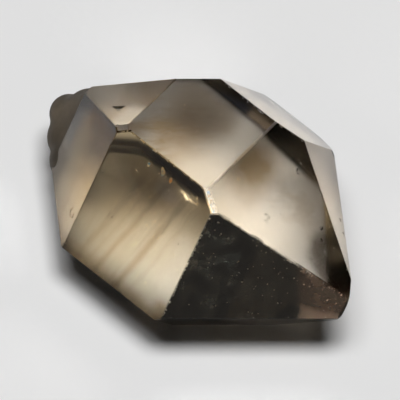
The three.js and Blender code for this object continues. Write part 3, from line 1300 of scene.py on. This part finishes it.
crack_shape = start_with(bpy.ops.mesh.primitive_cylinder_add, vertices=CRACK_SIDES, radius=1, depth=1)
reshape(crack_shape, (bpy.ops.transform.vertex_random, {"offset": CRACK_UNEVENNESS, "seed": 5}))

# the face, along it, across it, depth under it, half length, half width
CRACKS = [
    ("upper_front", -1.2, 1.71, 0.12, 0.1, 0.05),
    ("upper_front", -0.68, 1.9, 0.1, 0.1, 0.05),
    ("upper_front", -0.62, 1.79, 0.14, 0.14, 0.08),
    ("upper_front", -0.25, 1.74, 0.12, 0.12, 0.06),
    ("upper_front", 0.87, 1.83, 0.12, 0.07, 0.03),
    ("upper_front", 0.97, 1.66, 0.12, 0.06, 0.03),
    ("corner_right", -0.3, 0.68, 0.05, 0.12, 0.06),
    ("corner_right", -0.05, 0.5, 0.05, 0.12, 0.05),
    ("corner_right", 0.14, 0.36, 0.05, 0.1, 0.05),
    ("top_right", -0.72, 0.13, 0.06, 0.06, 0.025),
]
cracks = []
for name, along_by, across_by, depth, half_length, half_width in CRACKS:
    turn = (seen_through(name) + UP).to_track_quat("Z", "Y")
    size = (half_width, half_length, CRACK_THICKNESS)
    cracks.append(copy_of(crack_shape, spot(name, along_by, across_by, depth), size, turn))

RAINBOW = [
    (0.3, (0.14, 0.3, 0.55, 1)), (0.42, (0.6, 0.62, 0.6, 1)),
    (0.58, (0.65, 0.58, 0.45, 1)), (0.7, (0.65, 0.36, 0.14, 1)),
]
film = Finish("rainbow_film")
film.put(film.surface, {
    "Base Color": film.colours(film.noise(film.place(), scale=5.0, detail=1, shift=(4, 4, 4)), RAINBOW),
    "Metallic": 1.0,
    "Roughness": 0.38,
})
seal(cracks, "thin_cracks", film)
for shape in (chip, grain_shape, crack_shape):
    bpy.data.objects.remove(shape)

# %% [markdown]
# ## The floor
#
# The stone lies on plain pale paper. It matters more than a floor usually does, because most of what is
# seen in the clear faces is this paper, lit by the light that the stone itself gathers. It has no gloss,
# and a hair of air is left under the stone, so that its bottom face still mirrors as a free face does.

# %% Lay the floor
FLOOR_RADIUS = 0.3
FLOOR_GAP = 0.04 * MM
PAPER = (0.86, 0.86, 0.86, 1)

floor = start_with(
    bpy.ops.mesh.primitive_circle_add, vertices=64, radius=FLOOR_RADIUS, fill_type="NGON",
    location=(0, 0, -FLOOR_GAP),
)
floor.name = "floor"
paper = Finish("pale_paper")
paper.put(paper.surface, {"Base Color": PAPER, "Roughness": 0.9, "Specular IOR Level": 0.0})
floor.data.materials.append(paper.material)
print("the floor lies", FLOOR_GAP / MM, "mm under the stone")

# %% [markdown]
# ## The camera
#
# The camera looks steeply down on the front of the stone, from far away with a very long lens, as for a
# close-up with hardly any perspective. Its distance follows from how wide the picture is at the stone:
# thirteen and a third millimetres.

# %% Set up the camera
FRAME_WIDTH = 40 / 3 * MM
LENS, SENSOR = 1000, 36

bpy.ops.object.camera_add()
camera = bpy.context.object
camera.data.lens = LENS
camera.data.sensor_width = SENSOR
camera.data.clip_start, camera.data.clip_end = 0.005, 5
camera.location = CENTRE * MM + towards_viewer * FRAME_WIDTH * LENS / SENSOR
turn = (-towards_viewer).to_track_quat("-Z", "Y")
camera.rotation_mode = "QUATERNION"
camera.rotation_quaternion = turn @ Matrix.Rotation(math.radians(VIEW_ROLL), 3, "Z").to_quaternion()
bpy.context.scene.camera = camera
print("the camera is", round(FRAME_WIDTH * LENS / SENSOR, 3), "m from the stone")

# %% [markdown]
# ## The lights
#
# Two large soft lights hang nearly overhead. Their light falls through the stone onto the paper, and the
# bright and dark patches there are what the clear faces show. The other four are weak. They keep the
# faces that mirror the studio's walls from going quite black, with a warm one and a cool one low down.

# %% Hang the lights
LIGHT_DISTANCE = 0.5
WHITE, WARM, COOL = (1, 1, 1), (1, 0.88, 0.82), (0.5, 0.6, 1)
# name, azimuth from +X towards +Y, elevation, apparent radius in degrees, brightness, colour
LIGHTS = [
    ("overhead_right", 60, 82, 11, 15.9, WHITE),
    ("overhead_left", 210, 82, 11, 7.95, WHITE),
    ("front_fill", 315, 27, 8, 0.5, WHITE),
    ("side_fill", 19, 42, 6, 0.35, WHITE),
    ("low_fill", 252, 6, 6, 0.45, WARM),
    ("cool_fill", 281, 7, 5, 0.12, COOL),
]


def soft_light(name, azimuth, elevation, radius, brightness, colour):
    """A round soft box that looks at the crystal from a compass direction."""
    azimuth, elevation = math.radians(azimuth), math.radians(elevation)
    way = Vector((
        math.cos(azimuth) * math.cos(elevation),
        math.sin(azimuth) * math.cos(elevation),
        math.sin(elevation),
    ))
    size = 2 * LIGHT_DISTANCE * math.tan(math.radians(radius))
    # an evenly bright disc gives off pi times its brightness for each square metre
    bpy.ops.object.light_add(type="AREA", location=CENTRE * MM + way * LIGHT_DISTANCE)
    light = bpy.context.object
    light.name = name
    light.data.shape = "DISK"
    light.data.size = size
    light.data.color = colour
    light.data.energy = brightness * math.pi * math.pi * (size / 2) ** 2
    light.rotation_mode = "QUATERNION"
    light.rotation_quaternion = (-way).to_track_quat("-Z", "Y")


for light_settings in LIGHTS:
    soft_light(*light_settings)
print(len(LIGHTS), "lights")

# %% [markdown]
# ## How far the light is followed
#
# Light is turned back many times inside a cut stone, so it is followed through 24 bounces. Cycles also
# blurs and limits light that arrives by way of glass, to keep noise down. But here that light is the
# picture: it is what lights the paper under the stone. Both are switched off. The world outside is
# black, so that only the lights count.

# %% Set the studio
LIGHT_BOUNCES = {
    "max_bounces": 24, "transmission_bounces": 24, "glossy_bounces": 16, "diffuse_bounces": 4,
    "blur_glossy": 0, "sample_clamp_indirect": 0,
}

scene = bpy.context.scene
world = bpy.data.worlds.new("studio")
world.use_nodes = True
world.node_tree.nodes["Background"].inputs["Strength"].default_value = 0.0
scene.world = world
scene.view_settings.view_transform = "Standard"
for setting, value in LIGHT_BOUNCES.items():
    setattr(scene.cycles, setting, value)
print("light is followed through", scene.cycles.max_bounces, "bounces")
